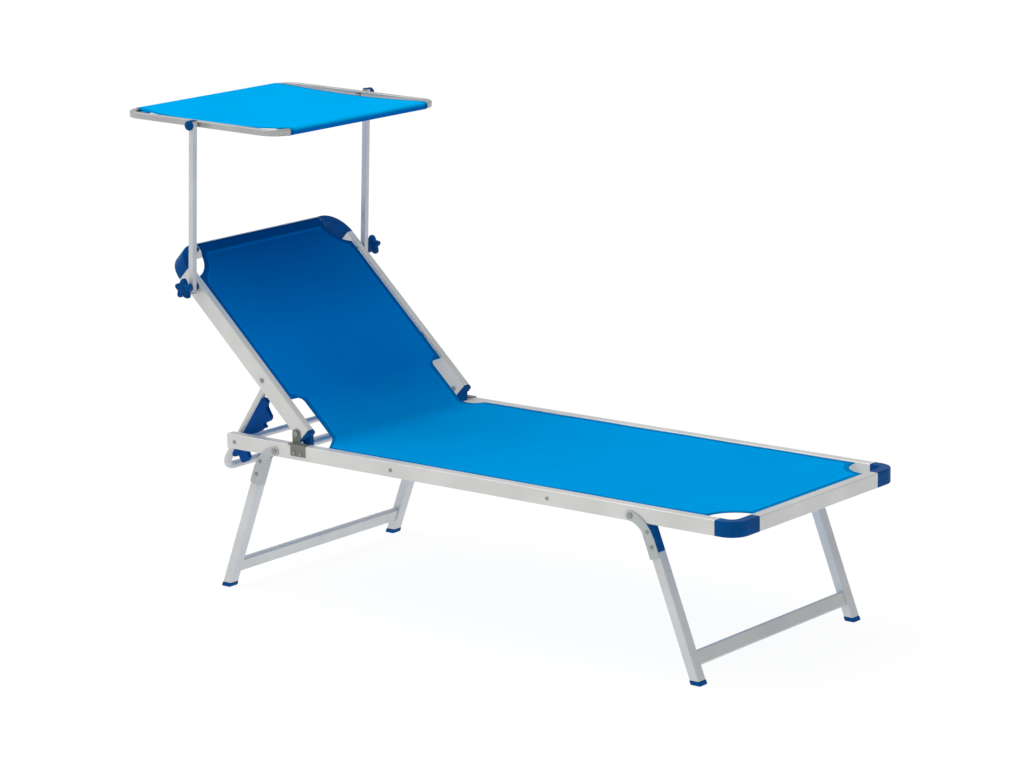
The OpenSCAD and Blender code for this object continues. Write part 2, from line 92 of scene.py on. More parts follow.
def new_material(name):
    """A material with nodes, its tree and its main shader."""
    material = bpy.data.materials.new(name)
    material.use_nodes = True
    tree = material.node_tree
    return material, tree, tree.nodes["Principled BSDF"]


def add(tree, kind, **values):
    """A node with its sockets or properties set."""
    node = tree.nodes.new(kind)
    for key, value in values.items():
        if key in node.inputs:
            node.inputs[key].default_value = value
        else:
            setattr(node, key, value)
    return node


def object_place(tree, stretch=(1, 1, 1)):
    """Object coordinates, stretched."""
    place = add(tree, "ShaderNodeTexCoord")
    mapping = add(tree, "ShaderNodeMapping", Scale=stretch)
    tree.links.new(place.outputs["Object"], mapping.inputs["Vector"])
    return mapping.outputs["Vector"]


def noise(tree, place, scale, detail=2.0):
    """Noise of that scale at a place."""
    node = add(tree, "ShaderNodeTexNoise", Scale=scale, Detail=detail)
    tree.links.new(place, node.inputs["Vector"])
    return node.outputs["Fac"]


def spread(tree, value, low, high, steps=(0.3, 0.7)):
    """Maps a value that runs over steps onto low to high."""
    node = add(tree, "ShaderNodeMapRange")
    node.inputs["From Min"].default_value = steps[0]
    node.inputs["From Max"].default_value = steps[1]
    node.inputs["To Min"].default_value = low
    node.inputs["To Max"].default_value = high
    tree.links.new(value, node.inputs["Value"])
    return node.outputs["Result"]


def shade_between(tree, value, *stops):
    """A colour that follows value through two or more stops of (position, colour)."""
    ramp = add(tree, "ShaderNodeValToRGB")
    elements = ramp.color_ramp.elements
    while len(elements) < len(stops):
        elements.new(0.5)
    for element, (position, colour) in zip(elements, stops):
        element.position = position
        element.color = (*colour, 1)
    tree.links.new(value, ramp.inputs["Fac"])
    return ramp.outputs["Color"]


def grey(value):
    """A colour without hue."""
    return (value, value, value)


def multiply(tree, first, second):
    """The product of two colours."""
    node = add(tree, "ShaderNodeMix", data_type="RGBA", blend_type="MULTIPLY")
    node.inputs["Factor"].default_value = 1.0
    tree.links.new(first, node.inputs["A"])
    tree.links.new(second, node.inputs["B"])
    return node.outputs["Result"]


def bump(tree, shader, height, strength, distance):
    """Raises the surface where height is large."""
    node = add(tree, "ShaderNodeBump", Strength=strength, Distance=distance)
    tree.links.new(height, node.inputs["Height"])
    tree.links.new(node.outputs["Normal"], shader.inputs["Normal"])


def attribute(tree, name):
    """A mesh attribute's value."""
    return add(tree, "ShaderNodeAttribute", attribute_name=name).outputs["Fac"]


def weave(tree, place, pitch):
    """Threads that cross every pitch: 0 between them and 1 on top of them."""
    cross = add(tree, "ShaderNodeMath", operation="MULTIPLY")
    for socket, axis in enumerate(("X", "Y")):
        # a wave texture's bands repeat every pi / 10 at a scale of 1
        wave = add(tree, "ShaderNodeTexWave", bands_direction=axis, Scale=math.pi / 10 / pitch)
        tree.links.new(place, wave.inputs["Vector"])
        tree.links.new(wave.outputs["Fac"], cross.inputs[socket])
    return cross.outputs[0]


# ---- the kinds of material ----


def metal(name, dark, light, roughness, stretch, metallic=0.35, grain=700.0, depth=0.10):
    """Drawn or pressed metal, with fine lines along the directions that stretch leaves small."""
    material, tree, shader = new_material(name)
    lines = noise(tree, object_place(tree, stretch), grain, 3.0)
    clouds = noise(tree, object_place(tree), 9.0, 3.0)
    colour = shade_between(tree, clouds, (0.3, dark), (0.7, light))
    tree.links.new(colour, shader.inputs["Base Color"])
    tree.links.new(spread(tree, lines, roughness - 0.06, roughness + 0.08), shader.inputs["Roughness"])
    shader.inputs["Metallic"].default_value = metallic
    shader.inputs["Specular IOR Level"].default_value = 0.3
    bump(tree, shader, lines, depth, 0.3 * MM)
    return material


def moulded(name, dark, light, roughness=0.38, coat=0.02):
    """Injection-moulded plastic with a fine spark-eroded grain."""
    material, tree, shader = new_material(name)
    place = object_place(tree)
    grain = noise(tree, place, 1400.0, 2.0)
    clouds = noise(tree, place, 24.0, 3.0)
    colour = shade_between(tree, clouds, (0.3, dark), (0.7, light))
    tree.links.new(colour, shader.inputs["Base Color"])
    tree.links.new(spread(tree, grain, roughness - 0.05, roughness + 0.08), shader.inputs["Roughness"])
    shader.inputs["Specular IOR Level"].default_value = 0.03
    shader.inputs["Coat Weight"].default_value = coat
    shader.inputs["Coat Roughness"].default_value = 0.25
    bump(tree, shader, grain, 0.2, 0.2 * MM)
    return material


def woven(name, tones, ridge_highlight, pitch=1.6 * MM):
    """Coated mesh cloth: crossing threads, uneven dye, a doubled hem, and a painted highlight along the
    hem's inner edge.

    The cloth's UV map is in metres. Its hem attribute is 0 at the cut edge, 1 at the hem's inner
    edge and up to 2 beyond. Its attribute of painted shade picks the colour from tones, which are
    (shade, colour) stops; painted shade also darkens the cut edge, and the painted highlight makes the hem's
    inner edge as light as the cloth times the factor given."""
    material, tree, shader = new_material(name)
    place = add(tree, "ShaderNodeUVMap", uv_map="cloth").outputs["UV"]
    cross = weave(tree, place, pitch)
    dye = shade_between(tree, noise(tree, place, 5.0, 4.0), (0.3, grey(0.94)), (0.7, grey(1.0)))
    threads = shade_between(tree, cross, (0.0, grey(0.88)), (0.6, grey(1.0)))
    # painted shade: this attribute darkens the bed cloth towards and up the backrest, and the sunshade's
    # cloth on the fronts of its sleeves
    colour = shade_between(tree, attribute(tree, "painted_shade"), *tones)
    cloth = multiply(tree, multiply(tree, colour, dye), threads)

    half_hem = add(tree, "ShaderNodeMath", operation="MULTIPLY")
    half_hem.inputs[1].default_value = 0.5
    tree.links.new(attribute(tree, "hem"), half_hem.inputs[0])
    # painted shade: the cut edge is painted darker where it meets the tubes; the doubled hem is darker
    # because its cloth lies twice
    edge = (1.0, 0.52, 0.58)
    doubled = (1.0, 0.66, 0.70)
    tint = shade_between(
        tree, half_hem.outputs[0],
        (0.06, edge), (0.14, doubled), (0.46, doubled), (0.54, grey(1.0)),
    )
    # painted highlight: the hem's inner edge is painted lighter, as if its raised roll caught the light
    ridge_highlight_mask = shade_between(
        tree, half_hem.outputs[0],
        (0.455, grey(0.0)), (0.49, grey(1.0)), (0.525, grey(1.0)), (0.56, grey(0.0)),
    )
    lit = add(tree, "ShaderNodeVectorMath", operation="SCALE", Scale=ridge_highlight)
    tree.links.new(cloth, lit.inputs[0])
    mixed = add(tree, "ShaderNodeMix", data_type="RGBA")
    tree.links.new(ridge_highlight_mask, mixed.inputs["Factor"])
    tree.links.new(multiply(tree, cloth, tint), mixed.inputs["A"])
    tree.links.new(lit.outputs["Vector"], mixed.inputs["B"])

    tree.links.new(mixed.outputs["Result"], shader.inputs["Base Color"])
    slub = noise(tree, place, 160.0, 2.0)
    tree.links.new(spread(tree, slub, 0.68, 0.80), shader.inputs["Roughness"])
    shader.inputs["Specular IOR Level"].default_value = 0.0
    bump(tree, shader, cross, 0.25, 0.3 * MM)
    return material


# ---- the materials ----

ALONG_X = (0.04, 1, 1)
ALONG_Y = (1, 0.04, 1)
ALONG_Z = (1, 1, 0.05)
NO_LINES = (1, 1, 1)

FRAME_METAL = metal("frame_metal", (0.61, 0.61, 0.595), (0.69, 0.69, 0.675), 0.42, ALONG_X)
LEG_METAL = metal("leg_metal", (0.54, 0.555, 0.57), (0.62, 0.635, 0.65), 0.42, ALONG_Z)
SHADE_METAL = metal("shade_metal", (0.38, 0.385, 0.38), (0.47, 0.475, 0.47), 0.30, ALONG_X, metallic=0.5)
CROSS_METAL = metal("cross_metal", (0.56, 0.57, 0.57), (0.64, 0.65, 0.64), 0.40, ALONG_Y)
PLATE_STEEL = metal(
    "zinc_plate", (0.40, 0.43, 0.44), (0.50, 0.53, 0.54), 0.40, NO_LINES,
    metallic=0.5, grain=300.0, depth=0.08,
)
DARK_STEEL = metal(
    "dark_plate", (0.16, 0.17, 0.155), (0.23, 0.24, 0.215), 0.45, NO_LINES,
    metallic=0.5, grain=300.0, depth=0.08,
)
RIVET_STEEL = metal(
    "rivet", (0.24, 0.24, 0.23), (0.34, 0.34, 0.33), 0.28, NO_LINES,
    metallic=0.6, grain=500.0, depth=0.05,
)
BLUE_PLASTIC = moulded("blue_plastic", (0.000, 0.048, 0.190), (0.000, 0.078, 0.270))
RACK_PLASTIC = moulded("rack_plastic", (0.000, 0.045, 0.210), (0.000, 0.070, 0.300), 0.34, 0.03)
# the bed cloth's own colour at 0; the darker stops at 0.5 and 1 are painted shade towards and up the
# backrest
BED_COLOUR_AND_PAINTED_SHADE = [(0.0, (0.000, 0.330, 0.780)), (0.5, (0.000, 0.205, 0.650)), (1.0, (0.000, 0.100, 0.350))]
# the sunshade cloth's own colour at 0; the darker stop at 1 is painted shade on the fronts of the sleeves
SUNSHADE_COLOUR_AND_PAINTED_SHADE = [(0.0, (0.000, 0.450, 0.960)), (1.0, (0.000, 0.150, 0.540))]
# the last number sets the painted highlight on the hem's inner edge: 1.35 times as light on the bed, none on
# the sunshade
BED_CLOTH = woven("bed_cloth", BED_COLOUR_AND_PAINTED_SHADE, 1.35)
SHADE_CLOTH = woven("sunshade_cloth", SUNSHADE_COLOUR_AND_PAINTED_SHADE, 1.0)
THREAD = moulded("sewing_thread", (0.000, 0.150, 0.420), (0.000, 0.190, 0.500), 0.6, 0.0)


# ---- the CAD parts that stay ----


def pair(stem):
    """A mirrored part's two node names."""
    return [f"{stem}_{side}" for side in SIDES]


# the nodes of each material; every other node is blue plastic
MATERIAL_NODES = (
    (FRAME_METAL, pair("rail") + pair("back_tube")),
    (SHADE_METAL, pair("shade_side")),
    (CROSS_METAL, ["foot_bar", "rack_bar", "hinge_bar", "spreaders", "back_top_bar"]),
    (CROSS_METAL, ["prop_cross", "shade_bars", "foot_leg_cross", "head_leg_cross"]),
    (LEG_METAL, pair("prop_arm") + pair("arm") + pair("foot_leg") + pair("head_leg")),
    (PLATE_STEEL, pair("foot_leg_bracket") + pair("head_leg_bracket")),
    (DARK_STEEL, pair("hinge_bracket")),
    (RIVET_STEEL, ["bed_rivets", "leg_pivot_rivets", "prop_rivets", "foot_leg_rivets", "head_leg_rivets"]),
    (RIVET_STEEL, ["hinge_pins", "star_bolts", "tilt_bolts"]),
    (RACK_PLASTIC, pair("rack")),
)
node_material = {name: material for material, names in MATERIAL_NODES for name in names}

# how far a node's edges are rounded, by the first of these words that its name holds; "head" is the
# legs' head blocks and the tubes of the head_leg frame
EDGE_ROUND = {
    "bracket": 0.5 * MM, "rivets": 0.9 * MM, "pins": 0.9 * MM, "bolts": 0.6 * MM,
    "corner": 1.0 * MM, "plugs": 1.0 * MM, "caps": 3.0 * MM, "head": 1.2 * MM,
    "rack_right": 1.4 * MM, "rack_left": 1.4 * MM, "spacers": 0.8 * MM,
}


def soften_edges(node, width):
    """Rounds the sharp edges of a CAD node: joins its split edges, clears flat triangles, then bevels."""
    weld = node.modifiers.new("weld", "WELD")
    weld.merge_threshold = 0.01 * MM
    flat = node.modifiers.new("flat", "DECIMATE")
    flat.decimate_type = "DISSOLVE"
    flat.angle_limit = math.radians(0.6)
    bevel = node.modifiers.new("bevel", "BEVEL")
    bevel.width = width
    bevel.segments = 2
    bevel.limit_method = "ANGLE"
    bevel.angle_limit = math.radians(38)
    bevel.harden_normals = False
    bevel.use_clamp_overlap = True


for node_name, cad_node in frame["nodes"].items():
    cad_node.data.materials.clear()
    cad_node.data.materials.append(node_material.get(node_name, BLUE_PLASTIC))
    edge_words = [word for word in EDGE_ROUND if word in node_name]
    if edge_words:
        soften_edges(cad_node, EDGE_ROUND[edge_words[0]])


# ---- mesh helpers ----


def add_object(name, data):
    """An object in the scene."""
    item = bpy.data.objects.new(name, data)
    bpy.context.collection.objects.link(item)
    return item


def add_piece(name, mesh, material):
    """A smooth-shaded mesh in the scene."""
    piece = add_object(name, mesh)
    mesh.materials.append(material)
    for face in mesh.polygons:
        face.use_smooth = True
    return piece


def spaced(start, end, step):
    """Values from start to end, about step apart, with both ends."""
    count = max(1, round(abs(end - start) / step))
    return [start + (end - start) * k / count for k in range(count + 1)]


def clamp(value):
    """The value, kept within 0 to 1."""
    return max(0.0, min(1.0, value))


def rise(distance, length):
    """Goes from 0 to 1 over a length."""
    return clamp(distance / length)


def apply_modifiers(piece):
    """Makes the modified mesh the piece's own."""
    mesh = bpy.data.meshes.new_from_object(piece.evaluated_get(bpy.context.evaluated_depsgraph_get()))
    piece.modifiers.clear()
    piece.data = mesh


# ---- cloth and stitches ----

CLOTH_THICK = 1.6 * MM
HEM = 15 * MM
# distances from a cloth's edge where its mesh has points
HEM_STEPS = [0, 4 * MM, 8 * MM, 12 * MM, HEM, 18 * MM, 24 * MM]
# columns of faces between a cloth's middle and its hem
HALF_COLUMNS = 14

STITCH_PITCH = 7 * MM
STITCH_LENGTH = 4.6 * MM
STITCH_WIDE = 1.0 * MM
STITCH_HIGH = 0.5 * MM


def row_across(half):
    """y values across a row of cloth that is 2 * half wide, close together in the hems."""
    right = [step - half for step in HEM_STEPS]
    middle = [right[-1] * (1 - k / HALF_COLUMNS) for k in range(1, 2 * HALF_COLUMNS)]
    return right + middle + [-y for y in reversed(right)]


def make_cloth(name, stations, place, half_at, inset_at, painted_shade_at, material):
    """A cloth whose rows lie at stations, distances along it.

    place gives the point at (station, y), half_at the half width at a station, inset_at the distance of
    (station, y) from the nearest edge, and the last function the painted shade at a station, which darkens
    the colour."""
    points, flat, hems, tones = [], [], [], []
    for station in stations:
        for y in row_across(half_at(station)):
            points.append(place(station, y))
            flat.append((y, station))
            hems.append(min(2.0, inset_at(station, y) / HEM))
            tones.append(painted_shade_at(station))
    across = len(points) // len(stations)
    faces = []
    for row in range(len(stations) - 1):
        for k in range(across - 1):
            first = row * across + k
            faces.append((first, first + 1, first + 1 + across, first + across))
    mesh = bpy.data.meshes.new(name)
    mesh.from_pydata(points, [], faces)
    uv = mesh.uv_layers.new(name="cloth")
    for loop in mesh.loops:
        uv.data[loop.index].uv = flat[loop.vertex_index]
    for layer, values in (("hem", hems), ("painted_shade", tones)):
        mesh.attributes.new(layer, "FLOAT", "POINT").data.foreach_set("value", values)
    piece = add_piece(name, mesh, material)
    solid = piece.modifiers.new("thickness", "SOLIDIFY")
    solid.thickness = CLOTH_THICK
    solid.offset = -1
    apply_modifiers(piece)
    piece.data.set_sharp_from_angle(angle=math.radians(40))
    return piece


def normal_at(place, station, y):
    """The cloth's outward direction."""
    step = 0.5 * MM
    here = place(station, y)
    return (place(station, y + step) - here).cross(place(station + step, y) - here).normalized()


def walk(line, gaps, distance):
    """The point that far along a line of points; gaps are the distances between them."""
    for (a, b), gap in zip(zip(line, line[1:]), gaps):
        if distance <= gap:
            part = distance / gap if gap else 0
            return tuple(p + (q - p) * part for p, q in zip(a, b))
        distance -= gap
    return line[-1]


def make_stitches(name, lines, place):
    """Thread dashes along lines of (station, y) points."""
    points, faces = [], []
    for line in lines:
        gaps = [math.dist(a, b) for a, b in zip(line, line[1:])]
        for k in range(int(sum(gaps) / STITCH_PITCH)):
            ends = [walk(line, gaps, k * STITCH_PITCH + part) for part in (0, STITCH_LENGTH)]
            start, end = (place(*at) for at in ends)
            out = normal_at(place, *ends[0])
            side = out.cross(end - start).normalized() * STITCH_WIDE / 2
            lift = out * STITCH_HIGH
            slope = (end - start) * 0.2
            base = len(points)
            for corner in (start, start + slope + lift, end - slope + lift, end):
                points.append(corner + side)
                points.append(corner - side)
            for j in (0, 2, 4):
                faces.append((base + j, base + j + 1, base + j + 3, base + j + 2))
    mesh = bpy.data.meshes.new(name)
    mesh.from_pydata(points, [], faces)
    return add_piece(name, mesh, THREAD)


def arc_stations(radius):
    """Distances from an end whose corners are cut out in quarter circles."""
    return [radius * math.cos(math.radians(angle)) for angle in spaced(90, 0, 5)]


def flat_area(stations, half_at):
    """The cut's flat area, summed row by row."""
    rows = [(station, 2 * half_at(station)) for station in stations]
    return sum((b[0] - a[0]) * (a[1] + b[1]) / 2 for a, b in zip(rows, rows[1:]))


# ---- the seat's cloth: flat between the rails, turned up at the fold, joined to the back's at SPLIT ----

SEAT_LEVEL = RAIL_TOP - 2 * MM
SEAT_HALF = RAIL_INNER - 1 * MM
SEAT_SAG = 4 * MM
SEAT_RIPPLE = 0.5 * MM
FOOT_HEM = 20 * MM
# the round cut-outs at the foot corners
CUT_R = 74 * MM
CUT_HALF = SEAT_HALF - 3 * MM
# the back's cloth, from the hinge line: its height, and how far along the join lies
BACK_CLOTH_OUT = 29 * MM
SPLIT = 20 * MM
FOLD_R = 35 * MM
# the notch beside the hinge, where the cloth is narrower
NOTCH_HALF = 240 * MM
NOTCH_TOP = 77 * MM
NOTCH_R = 15 * MM
NOTCH_START = 8 * MM

# where the seat's level and the back's plane meet, along the backrest
FOLD_TIP = (SEAT_LEVEL - HINGE.z - BACK_CLOTH_OUT * math.cos(BACK_ANGLE)) / math.sin(BACK_ANGLE)
FOLD_TIP_X = on_back(FOLD_TIP, BACK_CLOTH_OUT, 0).x
FOLD_TRIM = FOLD_R * math.tan(BACK_ANGLE / 2)
# stations where the flat part, the fold and the whole cloth end
SEAT_FLAT = FOOT_EDGE - FOLD_TIP_X - FOLD_TRIM
SEAT_FOLDED = SEAT_FLAT + FOLD_R * BACK_ANGLE
SEAT_END = SEAT_FOLDED + SPLIT - FOLD_TIP - FOLD_TRIM


def bed_painted_shade(along):
    """Painted shade on the bed's cloth: darker from just before the hinge and on up the backrest; along is
    the distance from the hinge.
    """
    return 0.5 * rise(along + 0.12, 0.20) + 0.5 * rise(along - 0.25, 0.28)


def seat_painted_shade(station):
    """The painted shade at a distance from the seat's foot edge."""
    return bed_painted_shade(station - SEAT_END + SPLIT)


def on_seat(station, y):
    """A point of the seat's cloth; station is the distance from its foot edge."""
    if station <= SEAT_FLAT:
        to_fold = SEAT_FLAT - station
        hang = SEAT_SAG * (1 - (y / SEAT_HALF) ** 2) * rise(station, 0.20) * rise(to_fold, 0.15)
        ripple = SEAT_RIPPLE * math.sin(23 * station + 6 * y) * rise(station, 0.10) * rise(to_fold, 0.10)
        return Vector((FOOT_EDGE - station, y, SEAT_LEVEL - hang + ripple))
    if station <= SEAT_FOLDED:
        turn = (station - SEAT_FLAT) / FOLD_R
        x = FOOT_EDGE - SEAT_FLAT - FOLD_R * math.sin(turn)
        return Vector((x, y, SEAT_LEVEL + FOLD_R * (1 - math.cos(turn))))
    return on_back(SPLIT - (SEAT_END - station), BACK_CLOTH_OUT, y)


def seat_half(station):
    """The seat's half width: cut out at the foot, then narrower in the hinge's notch."""
    if station < CUT_R:
        return CUT_HALF - math.sqrt(max(0.0, CUT_R ** 2 - station ** 2))
    notch_from = SEAT_FLAT - NOTCH_START
    return SEAT_HALF + (NOTCH_HALF - SEAT_HALF) * rise(station - notch_from, SEAT_FOLDED - notch_from)


def seat_inset(station, y):
    """The distance from the nearest edge, with the foot's wider hem scaled to the others."""
    side = seat_half(station) - abs(y)
    foot = station * HEM / FOOT_HEM
    corner = math.hypot(station, abs(y) - CUT_HALF) - CUT_R
    return max(0.0, min(side, foot, corner))


seat_stations = (
    arc_stations(CUT_R)
    + spaced(CUT_R, SEAT_FLAT - 40 * MM, 24 * MM)[1:]
    + spaced(SEAT_FLAT - 40 * MM, SEAT_END, 5 * MM)[1:]
)
seat_cloth = make_cloth("seat_cloth", seat_stations, on_seat, seat_half, seat_inset, seat_painted_shade, BED_CLOTH)


# ---- the back's cloth: from SPLIT up to the top bar, where it lies on the bar's face ----

BACK_HALF = BACK_INNER - 2.5 * MM
BACK_LEN = 555 * MM
BACK_END = BACK_LEN - 5 * MM
BACK_SAG = 5 * MM
TOP_HEM = 28 * MM
# where the cloth starts to rise onto the top bar, over what length, and how high it then lies
BAR_RISE_AT = BACK_LEN - 42 * MM
BAR_RISE = 22 * MM
BAR_CLOTH_OUT = 35.8 * MM
# the round cut-outs at the top corners
TOP_CUT_R = 78 * MM
TOP_CUT_AT = BACK_LEN - 15 * MM
TOP_CUT_HALF = BACK_HALF + 20.5 * MM


def on_back_cloth(station, y):
    """A point of the back's cloth; station is the distance from the hinge."""
    to_bar = rise(station - BAR_RISE_AT, BAR_RISE)
    lift = (BAR_CLOTH_OUT - BACK_CLOTH_OUT) * to_bar * to_bar * (3 - 2 * to_bar)
    ends = rise(station - SPLIT, 0.15) * rise(BACK_LEN - 45 * MM - station, 0.15)
    hang = BACK_SAG * max(0.0, 1 - (y / BACK_HALF) ** 2) * ends
    return on_back(station, BACK_CLOTH_OUT + lift - hang, y)


def back_half(station):
    """The back's half width: narrow beside the hinge, full, then cut out at the top corners."""
    if station < NOTCH_TOP - NOTCH_R:
        return NOTCH_HALF
    if station < NOTCH_TOP:
        turn = (station - NOTCH_TOP + NOTCH_R) / NOTCH_R
        return NOTCH_HALF + NOTCH_R * (1 - math.sqrt(1 - turn ** 2))
    if station > TOP_CUT_AT:
        return TOP_CUT_HALF - TOP_CUT_R
    away = TOP_CUT_AT - station
    if away < TOP_CUT_R:
        return min(BACK_HALF, TOP_CUT_HALF - math.sqrt(TOP_CUT_R ** 2 - away ** 2))
    return BACK_HALF


def back_inset(station, y):
    """The distance from the nearest edge, with the top's wider hem scaled to the others."""
    side = back_half(station) - abs(y)
    top = (BACK_END - station) * HEM / TOP_HEM
    corner = math.hypot(TOP_CUT_AT - station, abs(y) - TOP_CUT_HALF) - TOP_CUT_R
    notch = station - NOTCH_TOP if abs(y) > NOTCH_HALF and station >= NOTCH_TOP else HEM * 2
    return max(0.0, min(side, top, corner, notch))


top_arc = [TOP_CUT_AT - away for away in reversed(arc_stations(TOP_CUT_R))]
back_stations = (
    spaced(SPLIT, NOTCH_TOP - NOTCH_R, 7 * MM)
    + [NOTCH_TOP - NOTCH_R * (1 - math.sin(math.radians(angle))) for angle in (20, 40, 60, 75, 89)]
    + [NOTCH_TOP + max(step, 0.5 * MM) for step in HEM_STEPS]
    + spaced(NOTCH_TOP + HEM_STEPS[-1], top_arc[0], 20 * MM)[1:]
    + top_arc[1:]
    + [TOP_CUT_AT + 5 * MM, BACK_END]
)
back_cloth = make_cloth(
    "back_cloth", back_stations, on_back_cloth, back_half, back_inset, bed_painted_shade, BED_CLOTH
)


# ---- the seams of the seat and the back ----

# how far inside a cloth's side edges its seams run
SEAM = HEM - 3 * MM
FOOT_SEAM_AT = 17 * MM
FOOT_SEAM_HALF = CUT_HALF - CUT_R - 20 * MM
TOP_SEAM_AT = BACK_END - 25 * MM
TOP_SEAM_HALF = TOP_CUT_HALF - TOP_CUT_R - 12 * MM


def both_lines(line):
    """A line of (station, y) points and its mirror image."""
    return [line, [(station, -y) for station, y in line]]


def seam_along(start, end, half):
    """A pair of straight seams beside the side edges."""
    return both_lines([(start, half - SEAM), (end, half - SEAM)])


def seam_across(station, half):
    """One straight seam from side to side."""
    return [[(station, -half), (station, half)]]


def seam_round(centre_station, centre_half, radius, towards, start, end):
    """A pair of round seams beside cut-out corners, from a start to an end angle in degrees."""
    angles = [math.radians(angle) for angle in spaced(start, end, 6)]
    return both_lines([
        (centre_station + towards * radius * math.sin(a), centre_half - radius * math.cos(a)) for a in angles
    ])


seat_seams = (
    seam_along(CUT_R + 20 * MM, SEAT_FLAT - 14 * MM, SEAT_HALF)
    + seam_round(0, CUT_HALF, CUT_R + SEAM, 1, 12, 78)
    + seam_across(FOOT_SEAM_AT, FOOT_SEAM_HALF)
)
seat_thread = make_stitches("seat_stitches", seat_seams, on_seat)
back_seams = (
    seam_along(NOTCH_TOP + 16 * MM, TOP_CUT_AT - TOP_CUT_R - 14 * MM, BACK_HALF)
    + seam_along(SPLIT + 4 * MM, NOTCH_TOP, NOTCH_HALF)
    + seam_round(TOP_CUT_AT, TOP_CUT_HALF, TOP_CUT_R + SEAM, -1, 20, 78)
    + seam_across(TOP_SEAM_AT, TOP_SEAM_HALF)
)
back_thread = make_stitches("back_stitches", back_seams, on_back_cloth)

for piece in (seat_cloth, seat_thread):
    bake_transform(piece)
for piece in (back_cloth, back_thread):
    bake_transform(piece)
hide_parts("seat_fabric")
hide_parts("back_fabric")


# ---- the sunshade's cloth: one sheet over both bars, whose ends go round them and are sewn down inside ----

SHADE_BAR_R = 8 * MM
SHADE_BAR_X = (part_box("shade_bars")[1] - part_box("shade_bars")[0]).x / 2 - SHADE_BAR_R
SLEEVE_R = 9.4 * MM
SHADE_SEAM = 30 * MM
SHADE_SEAM_SIDE = 4 * MM
SHADE_SEAM_AT = 6 * MM
SHADE_HALF = 249 * MM
SHADE_SAG = 10 * MM
# how much wider the sheet is midway than at the bars
SHADE_BULGE = 0.08


def shade_profile():
    """The cloth's section across the bars, in x and z from the line of the small bolts."""
    above = []
    for x in spaced(0, SHADE_BAR_X, 16 * MM):
        above.append((x, SLEEVE_R - SHADE_SAG * (1 - (x / SHADE_BAR_X) ** 2)))
    around = []
    for angle in spaced(80, -160, 10):
        turn = math.radians(angle)
        around.append((SHADE_BAR_X + SLEEVE_R * math.cos(turn), SLEEVE_R * math.sin(turn)))
    back_up = [
        (SHADE_BAR_X - 13 * MM, -1 * MM),
        (SHADE_BAR_X - 19 * MM, 2.5 * MM),
        (SHADE_BAR_X - 24 * MM, 4.5 * MM),
        (SHADE_BAR_X - SHADE_SEAM, 4.6 * MM),
    ]
    half = above[1:] + around + back_up
    return [(-x, z) for x, z in reversed(half)] + [above[0]] + half


shade_line = shade_profile()
shade_gaps = [math.dist(a, b) for a, b in zip(shade_line, shade_line[1:])]
shade_stations = [sum(shade_gaps[:k]) for k in range(len(shade_line))]
shade_end = shade_stations[-1]
SHADE_TURN = Matrix.Rotation(SHADE_TILT, 3, "Y")


def on_shade_cloth(station, y):
    """A point of the sunshade's cloth; station is the distance along its section."""
    x, z = walk(shade_line, shade_gaps, station)
    middle = 1 - (x / SHADE_BAR_X) ** 2 if abs(x) < SHADE_BAR_X else 0
    wider = 1 + SHADE_BULGE * math.sqrt(middle)
    return TILT_BOLT + SHADE_TURN @ Vector((x, y * wider, z))


def shade_half(station):
    """The sunshade's half width, the same at every station."""
    return SHADE_HALF


def shade_inset(station, y):
    """The distance from the side's hem; the sleeves hide the other edges."""
    return SHADE_HALF - abs(y) + 4 * MM


def shade_tone(station):
    """0 on the lit sheet, 1 on the front of the sleeves, where the bar shades the cloth."""
    x, z = walk(shade_line, shade_gaps, station)
    if abs(x) < SHADE_BAR_X - SLEEVE_R:
        return 0.0
    return rise(0.75 * SLEEVE_R - z, 0.7 * SLEEVE_R)


# the rows run from the far end back, so that the sheet's face looks up
shade_cloth = make_cloth(
    "sunshade_cloth", shade_stations[::-1], on_shade_cloth, shade_half, shade_inset, shade_tone, SHADE_CLOTH
)
shade_seams = (
    seam_across(SHADE_SEAM_AT, SHADE_HALF - SHADE_SEAM_SIDE)
    + seam_across(shade_end - SHADE_SEAM_AT, SHADE_HALF - SHADE_SEAM_SIDE)
)
shade_thread = make_stitches("sunshade_stitches", shade_seams, on_shade_cloth)
for piece in (shade_cloth, shade_thread):
    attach(piece, "shade")
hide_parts("shade_fabric")


# ---- the cloths' flat areas, worked out but not kept ----

flat_area(seat_stations, seat_half)
flat_area(back_stations, back_half)


# ---- knobs ----

KNOB_BASE = ARM_OUTER + 0.4 * MM

# the knobs' rings in millimetres: distance out, radius and depth of the lobes
STAR_STEM = [(0, 9, 0), (0.6, 9.6, 0), (3, 9.4, 0), (12, 8.2, 0), (14, 9.5, 0.5)]
STAR_RIM = [
    (14.6, 16, 3.0), (15.4, 19, 4.2), (17.5, 20.6, 4.6), (21, 21, 4.8),
    (26, 20.6, 4.7), (29.6, 19, 4.2), (31, 16.6, 3.4),
]
STAR_TOP = [
    (31.4, 14.0, 2.0), (30.6, 12.2, 0.8), (30.6, 10.4, 0), (32.4, 9.4, 0), (34.6, 7.6, 0), (35.4, 4, 0),
]
SMALL_COLLAR = [(0, 7, 0), (1.6, 7, 0)]
SMALL_GRIP = [
    (1.8, 10.6, 0.2), (2.6, 11.5, 0.4), (7.6, 11.5, 0.4), (9.6, 10.6, 0.3), (11, 8.2, 0), (11.8, 4, 0),
]


